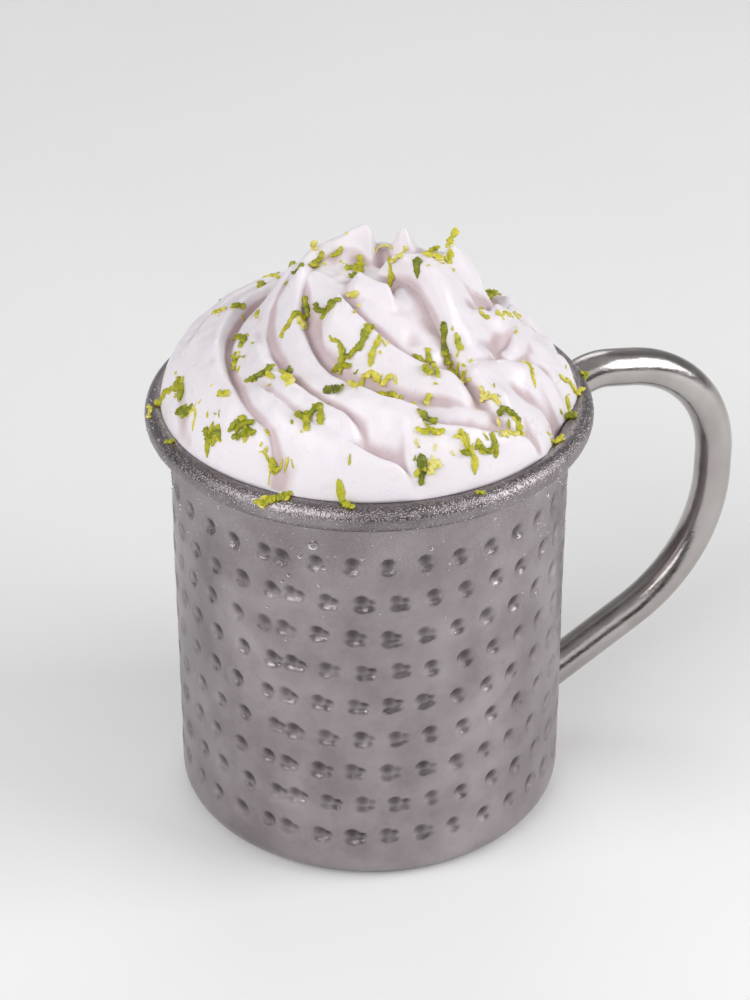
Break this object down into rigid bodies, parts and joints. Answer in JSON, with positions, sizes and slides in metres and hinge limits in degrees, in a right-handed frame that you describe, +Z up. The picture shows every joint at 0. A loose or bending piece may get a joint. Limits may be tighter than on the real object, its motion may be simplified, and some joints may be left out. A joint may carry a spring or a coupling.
{
  "type": "mug of moscow mule",
  "caption": "Straight metal mug with pressed dimples, a rolled rim and a bent bar handle, filled with a drink under a heap of swirled whipped foam.",
  "frame": {"origin": "centre of the mug's underside, on the axis of the cup", "axes": "+Z up along the axis of the cup, +X out through the handle"},
  "size_m": [0.1387, 0.0948, 0.1321],
  "materials": {
    "mug_metal": "satin, pressed dimples, beaded with cold dew",
    "handle_metal": "polished",
    "drink": "cloudy liquid",
    "foam": "soft whipped foam"
  },
  "bodies": {
    "root": {"mug": "mug_metal", "handle": "handle_metal", "drink": "drink", "foam": "foam"}
  },
  "joints": []
}
